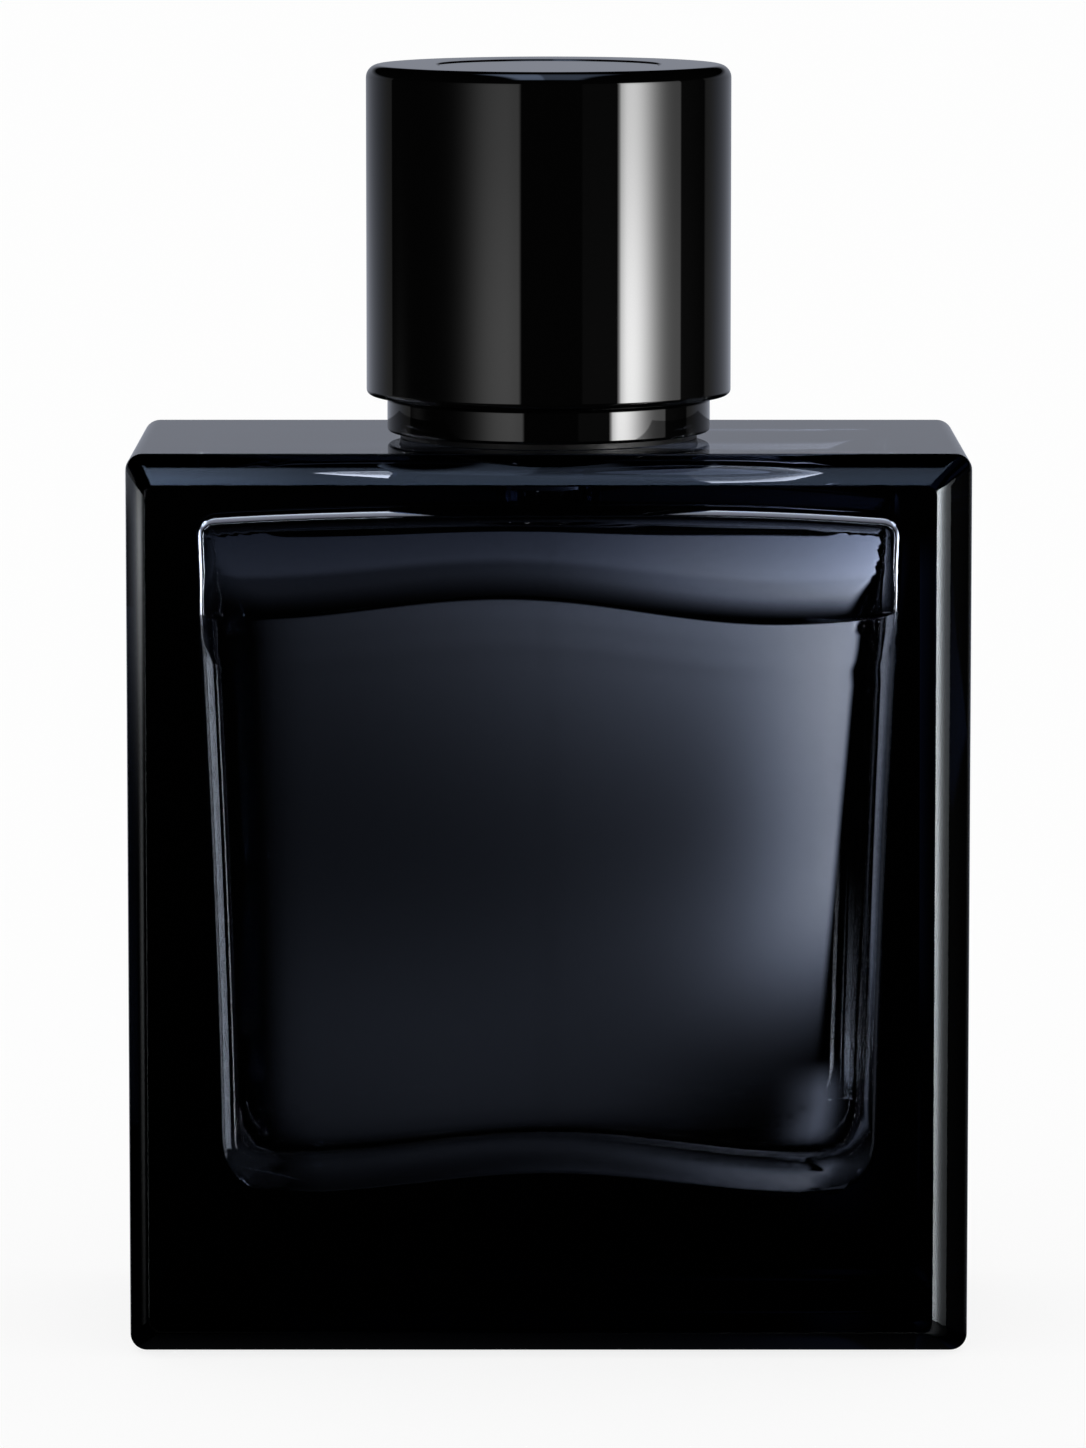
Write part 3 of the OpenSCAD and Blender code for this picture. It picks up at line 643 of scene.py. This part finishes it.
disc = turned(
    [[0, DISC_TOP - DISC_T], [DISC_R, DISC_TOP - DISC_T], [DISC_R, DISC_TOP], [0, DISC_TOP]],
    [0, 0.05, 0.15, 0],
)
put("cap_inlay", disc.mesh("cap_inlay"), lacquer, "cap", ["cap_disc"])

# ---- Collar ----

RING_R, RING_Z, RING_TOP, COLLAR_TOP = 14.8, 82.4, 85.5, 94.8
SPIGOT_R, HOLE_R, COLLAR_T = 12.2, 7.3, 1.1
ring_in_r, spigot_in_r = RING_R - COLLAR_T, SPIGOT_R - COLLAR_T
collar = turned(
    [[ring_in_r, RING_Z], [RING_R, RING_Z], [RING_R, RING_TOP], [SPIGOT_R, RING_TOP],
     [SPIGOT_R, COLLAR_TOP], [HOLE_R, COLLAR_TOP], [HOLE_R, COLLAR_TOP - COLLAR_T],
     [spigot_in_r, COLLAR_TOP - COLLAR_T], [spigot_in_r, RING_TOP - COLLAR_T],
     [ring_in_r, RING_TOP - COLLAR_T]],
    [0.15, 0.3, 0.3, 0.15, 0.3, 0.3, 0.3, 0.15, 0.15, 0.15],
)
put("collar_ring", collar.mesh("collar_ring"), lacquer, "bottle", ["collar_shell"])

# The parts that stay plain solids. Clear ones sit in the liquid, which hides them.
for node_name, finish in {
    "neck_gasket": rubber, "crimp_ferrule": aluminium, "pump_housing": tube,
    "pump_gland": natural, "dip_tube": tube, "check_ball": tube,
    "main_spring": stainless, "piston": polyethylene, "stem": polyethylene,
    "stem_core": acetal, "actuator_core": moulded, "actuator_sleeve": lacquer,
    "nozzle_insert": moulded, "collar_insert": moulded, "cap_liner": moulded,
}.items():
    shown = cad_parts[node_name]
    shown.data.materials.clear()
    shown.data.materials.append(finish)

# ---- Studio ----


def stand(name, low, high, material, **seen_by):
    """A flat sheet of the studio between two opposite corners, seen only by the named rays."""
    (x0, y0, z0), (x1, y1, z1) = low, high
    corners = (
        [(x0, y0, z0), (x1, y0, z0), (x1, y1, z0), (x0, y1, z0)] if z0 == z1
        else [(x0, y0, z0), (x1, y1, z0), (x1, y1, z1), (x0, y0, z1)]
    )
    mesh = bpy.data.meshes.new(name)
    mesh.from_pydata([[c * MM for c in corner] for corner in corners], [], [(0, 1, 2, 3)])
    mesh.materials.append(material)
    sheet = bpy.data.objects.new(name, mesh)
    bpy.context.scene.collection.objects.link(sheet)
    for ray in ("camera", "diffuse", "glossy", "transmission", "volume_scatter", "shadow"):
        setattr(sheet, "visible_" + ray, seen_by.get(ray, False))
    return sheet


def table_top():
    """Opal acrylic lit from below: white, with only a faint contact shadow."""
    made, tree, out = start_material("opal_acrylic")
    shader = add(tree, "BsdfPrincipled", {
        "Base Color": (0.16, 0.16, 0.16, 1), "Roughness": fine_grain(tree, 4, 0.55, 0.65),
        "Specular IOR Level": 0, "Emission Color": (1, 1, 1, 1), "Emission Strength": 0.83,
    })
    tree.links.new(shader.outputs["BSDF"], out.inputs["Surface"])
    return made


def lit(name, strength):
    """A sheet that glows, by a strength worked out in its own tree."""
    made, tree, out = start_material(name)
    bright = strength(tree)
    tint = add(tree, "MixRGB", {"Fac": step_between(tree, bright, 0.05, 1.2),
                                "Color1": (0.93, 1.02, 1.2, 1), "Color2": (0.93, 0.96, 1, 1)})
    glow = add(tree, "Emission", {"Color": tint.outputs["Color"], "Strength": bright})
    tree.links.new(glow.outputs["Emission"], out.inputs["Surface"])
    return made


def work_out(tree, operation, first, *others):
    """A value worked out from the first, taking in the others one by one."""
    for other in others:
        first = add(tree, "Math", {0: first, 1: other}, operation=operation).outputs["Value"]
    if not others:
        first = add(tree, "Math", {0: first}, operation=operation).outputs["Value"]
    return first


def pool(tree, value, centre, reach):
    """Soft pool of light: 1 at its centre, falling away over its reach to both sides."""
    away = work_out(tree, "DIVIDE", work_out(tree, "SUBTRACT", value, centre), reach)
    square = work_out(tree, "MULTIPLY", away, away, -1)
    return work_out(tree, "POWER", math.e, square)


def doubling(tree, value, start, distance):
    """Light that is 1 at its start and doubles over each distance beyond it."""
    return work_out(tree, "POWER", 2, work_out(
        tree, "DIVIDE", work_out(tree, "SUBTRACT", value, start), distance))


def step_between(tree, value, low, high):
    """Rises softly from 0 to 1 between two values, or falls where the second is the lower."""
    return add(tree, "MapRange", {"Value": value, "From Min": low, "From Max": high},
               interpolation_type="SMOOTHSTEP").outputs["Result"]


def backlight(tree):
    """Light behind the bottle: strong at the right, a dark bar level with the shoulder."""
    place = add(tree, "NewGeometry").outputs["Position"]
    split = add(tree, "SeparateXYZ", {"Vector": place})
    x = work_out(tree, "DIVIDE", split.outputs["X"], MM)
    z = work_out(tree, "DIVIDE", split.outputs["Z"], MM)
    # Lower part, seen straight through the flat walls: two lamps from the right, one high and
    # one low, a bright patch by the right wall and a weak fill low at the left
    high_lamp = work_out(tree, "MULTIPLY", doubling(tree, x, 0, 12), pool(tree, z, 85, 30), 0.32)
    low_lamp = work_out(tree, "MULTIPLY", doubling(tree, x, 30, 5), pool(tree, z, 27, 9), 0.75)
    patch = work_out(tree, "MULTIPLY", pool(tree, x, 30, 8), pool(tree, z, 45, 20), 0.7)
    fill = work_out(tree, "MULTIPLY", pool(tree, x, -6, 35), pool(tree, z, 17, 13), 0.035)
    under = work_out(tree, "ADD", high_lamp, low_lamp, patch, fill, 0.013)
    wall = work_out(tree, "ADD", work_out(tree, "MULTIPLY", z, 0.145), 25.5)
    past = work_out(tree, "SUBTRACT", x, wall)
    # A black flag at 45 degrees shades the lower right
    flag = work_out(tree, "SUBTRACT", z, x)
    under = work_out(tree, "MULTIPLY", under, step_between(tree, past, 0.9, -0.9),
                     step_between(tree, x, -32, -23), step_between(tree, flag, -15, 8))
    corner = work_out(tree, "MULTIPLY", pool(tree, x, 28.5, 3.2), step_between(tree, z, 15, 11),
                      0.28)
    under = work_out(tree, "MULTIPLY", work_out(tree, "ADD", under, corner),
                     step_between(tree, z, 68, 62.5), step_between(tree, z, -3, 5))
    # Upper part, bent down by the shoulder's slope
    high = step_between(tree, z, 88.5, 93)
    over = work_out(tree, "MULTIPLY", doubling(tree, x, 20, 5), 0.88)
    over = work_out(tree, "MULTIPLY", work_out(tree, "ADD", over, 0.065),
                    work_out(tree, "ADD", work_out(tree, "MULTIPLY", high, 0.3), 1))
    over = work_out(tree, "ADD", over, work_out(tree, "MULTIPLY", high, 0.1))
    over = work_out(tree, "MULTIPLY", over, step_between(tree, z, 73, 92),
                    step_between(tree, z, 108, 100), step_between(tree, x, 34, 30))
    return work_out(tree, "ADD", under, over)


stand("table_top", (-3000, -3000, 0), (3000, 6000, 0), table_top(), camera=True, diffuse=True)
stand("back_glow", (-140, 62, -60), (140, 62, 220), lit("back_light", backlight),
      transmission=True)


def studio_world():
    """Dome of the studio: white for the eye and the table, with softboxes in the reflections."""
    world = bpy.data.worlds.new("studio")
    bpy.context.scene.world = world
    world.use_nodes = True
    tree = world.node_tree
    tree.nodes.clear()
    out = add(tree, "OutputWorld")
    way = add(tree, "TexCoord").outputs["Generated"]
    split = add(tree, "SeparateXYZ", {"Vector": way})
    x, y, z = (split.outputs[a] for a in "XYZ")
    turn = work_out(tree, "ARCTAN2", x, work_out(tree, "MULTIPLY", y, -1))
    turn = work_out(tree, "MULTIPLY", turn, 180 / math.pi)
    rise = work_out(tree, "MULTIPLY", work_out(tree, "ARCSINE", z), 180 / math.pi)
    away = work_out(tree, "ABSOLUTE", turn)
    # Left softbox: doubles every 4 degrees until it is full, and ends sharply near the front
    rising = doubling(tree, turn, -46, 4)
    full = work_out(tree, "DIVIDE", rising, work_out(tree, "ADD", rising, 1))
    left_box = work_out(tree, "SUBTRACT", 1.1, work_out(
        tree, "MULTIPLY", step_between(tree, turn, -28, -18), 0.16))
    left_box = work_out(tree, "MULTIPLY", left_box, full,
                        step_between(tree, turn, -16.7, -19.3))
    # Right softbox: a plain panel with a hot lamp near its front end. Its front edge brightens
    # slowly at first and then fast, and its back edge is sharp
    lamp = work_out(tree, "MULTIPLY", pool(tree, turn, 53, 15.5), 14.9)
    near = work_out(tree, "ADD", work_out(
        tree, "MULTIPLY", step_between(tree, turn, 45, 51), 0.25), 0.75)
    slow = add(tree, "MapRange", {"Value": turn, "From Min": 43.6, "From Max": 45,
                                  "To Min": 0, "To Max": 0.35})
    fast = add(tree, "MapRange", {"Value": turn, "From Min": 45, "From Max": 46.4,
                                  "To Min": 0, "To Max": 0.65})
    edge = work_out(tree, "ADD", slow.outputs["Result"], fast.outputs["Result"])
    right_box = work_out(tree, "MULTIPLY", work_out(tree, "ADD", lamp, 0.85), near, edge,
                         step_between(tree, turn, 92.6, 90.9))
    # White wall behind, brightest straight behind, and a dim one at the right
    sides = work_out(tree, "MAXIMUM", step_between(tree, turn, -116.4, -118),
                     step_between(tree, turn, 115, 118))
    wall = work_out(tree, "MULTIPLY", step_between(tree, away, 115, 165), 0.24)
    wall = work_out(tree, "MULTIPLY", work_out(tree, "ADD", wall, 0.12), sides)
    dim = work_out(tree, "MULTIPLY", step_between(tree, turn, 20, 22),
                   step_between(tree, turn, 125, 80), 0.04)
    ring = work_out(tree, "ADD", left_box, right_box, wall, dim, 0.005)
    # Its height: strongest along its lower lip, dark above and nearly dark below
    rim = work_out(tree, "ADD", work_out(
        tree, "MULTIPLY", step_between(tree, rise, -12, -7), 0.4), 0.4)
    lip = work_out(tree, "MULTIPLY", pool(tree, rise, -4.8, 1.3), 0.45)
    tall = work_out(tree, "MULTIPLY", rim, step_between(tree, rise, -12.3, -11.8))
    top_fade = add(tree, "MapRange", {"Value": rise, "From Min": 9, "From Max": 15,
                                      "To Min": 1, "To Max": 0})
    tall = work_out(tree, "MULTIPLY", work_out(tree, "ADD", tall, lip, 0.02),
                    top_fade.outputs["Result"])
    band = work_out(tree, "MULTIPLY", ring, tall)
    # The back left of the ring ends above the bottle's shoulder
    hidden = work_out(tree, "MULTIPLY", step_between(tree, rise, -5.5, -6.1),
                      work_out(tree, "MULTIPLY", step_between(tree, turn, -152, -144),
                               step_between(tree, turn, -60, -66)))
    band = work_out(tree, "MULTIPLY", band, work_out(tree, "SUBTRACT", 1, hidden))
    # Low softbox at the left
    left = work_out(tree, "MULTIPLY", pool(tree, turn, -109, 17), pool(tree, rise, -5.9, 1.2),
                    step_between(tree, rise, -5.4, -6.0), 2.1)
    strip = work_out(tree, "MULTIPLY", pool(tree, turn, -108, 8), pool(tree, rise, -8.6, 2.4),
                     0.45)
    band = work_out(tree, "ADD", band, left, strip)
    # Overhead softbox, a little in front of the bottle
    lean = work_out(tree, "ARCTAN2", z, y)
    lean = work_out(tree, "MULTIPLY", lean, 180 / math.pi)
    over = work_out(tree, "MULTIPLY", step_between(tree, lean, 68, 71),
                    step_between(tree, lean, 134, 124))
    over = work_out(tree, "MULTIPLY", over, add(tree, "MapRange", {
        "Value": lean, "From Min": 68, "From Max": 95, "To Min": 0.5, "To Max": 1,
    }).outputs["Result"])
    over = work_out(tree, "MULTIPLY", over,
                    step_between(tree, work_out(tree, "ABSOLUTE", x), 0.34, 0.22))
    over = work_out(tree, "MULTIPLY", over, add(tree, "MapRange", {
        "Value": x, "From Min": -0.052, "From Max": -0.03, "To Min": 2.4, "To Max": 1,
    }).outputs["Result"])
    rays = add(tree, "LightPath").outputs
    shiny = work_out(tree, "MAXIMUM", rays["Is Glossy Ray"], rays["Is Transmission Ray"])
    glossy = work_out(tree, "MULTIPLY", rays["Is Glossy Ray"], work_out(
        tree, "SUBTRACT", 1, rays["Is Transmission Ray"]))
    seen = work_out(tree, "ADD", work_out(tree, "MULTIPLY", band, glossy),
                    work_out(tree, "MULTIPLY", work_out(tree, "SUBTRACT", 1, shiny), 0.975))
    # Lights that reach the eye only through the glass
    through = rays["Is Transmission Ray"]
    side = 0
    for low, high, bright in ((-160, -98, 4.5), (98, 158, 0.6)):
        part = work_out(tree, "MULTIPLY", step_between(tree, turn, low, low + 6), work_out(
            tree, "MULTIPLY", step_between(tree, turn, high, high - 6), bright))
        side = work_out(tree, "ADD", side, part)
    side = work_out(tree, "MULTIPLY", side,
                    step_between(tree, work_out(tree, "ABSOLUTE", rise), 46, 38))
    low = work_out(tree, "MULTIPLY", step_between(tree, turn, -98, -92),
                   step_between(tree, turn, -58, -64))
    low = work_out(tree, "MULTIPLY", low, step_between(tree, rise, -34, -28))
    low = work_out(tree, "MULTIPLY", low, step_between(tree, rise, -6, -10))
    side = work_out(tree, "ADD", side, work_out(tree, "MULTIPLY", low, 14))
    roof = add(tree, "ValToRGB", {"Fac": work_out(tree, "DIVIDE", lean, 90)})
    heights = [(0, 0), (0.29, 0), (0.33, 0.9), (0.6, 0.9), (0.7, 0.4), (0.8, 0.13),
               (0.97, 0.06), (1, 0)]
    for place, _ in heights[1:-1]:
        roof.color_ramp.elements.new(place)
    for element, (_, bright) in zip(roof.color_ramp.elements, heights):
        element.color = (bright, bright, bright, 1)
    roof = work_out(tree, "MULTIPLY", roof.outputs["Color"], 19)
    roof = work_out(tree, "MULTIPLY", roof, work_out(tree, "GREATER_THAN", lean, 0))
    inner = work_out(tree, "MULTIPLY", through, work_out(tree, "ADD", side, roof))
    top = work_out(tree, "MULTIPLY", over, glossy)
    both = work_out(tree, "ADD", seen, top)
    share = work_out(tree, "DIVIDE", top, work_out(tree, "MAXIMUM", both, 0.0001))
    haze = add(tree, "MixRGB", {"Fac": step_between(tree, away, 118, 135),
                                "Color1": (1, 1, 1, 1), "Color2": (0.94, 1.0, 1.17, 1)})
    cool = add(tree, "MixRGB", {"Fac": share, "Color1": haze.outputs["Color"],
                                "Color2": (0.65, 0.83, 1.2, 1)})
    cool = add(tree, "MixRGB", {"Fac": shiny, "Color1": (1, 1, 1, 1),
                                "Color2": cool.outputs["Color"]})
    # What has passed through much navy glass starts out warmer
    total = work_out(tree, "ADD", both, inner)
    share = work_out(tree, "DIVIDE", inner, work_out(tree, "MAXIMUM", total, 0.0001))
    warm = add(tree, "MixRGB", {"Fac": share, "Color1": cool.outputs["Color"],
                                "Color2": (1.05, 1.01, 0.9, 1)})
    sky = add(tree, "Background", {"Color": warm.outputs["Color"], "Strength": total})
    tree.links.new(sky.outputs["Background"], out.inputs["Surface"])


studio_world()

# ---- Camera ----

camera = bpy.data.cameras.new("camera")
camera.lens, camera.sensor_width, camera.shift_y = 190.3, 36, -0.1
camera.clip_start, camera.clip_end = 0.01, 60
eye = bpy.data.objects.new("camera", camera)
eye.matrix_world = Matrix.Translation((-0.516 * MM, -700 * MM, 147.83 * MM)) @ Matrix.Rotation(
    math.radians(90 - 6.458), 4, "X"
)
bpy.context.scene.collection.objects.link(eye)
bpy.context.scene.camera = eye
bpy.context.scene.view_settings.view_transform = "Standard"
bpy.context.scene.cycles.use_denoising = True
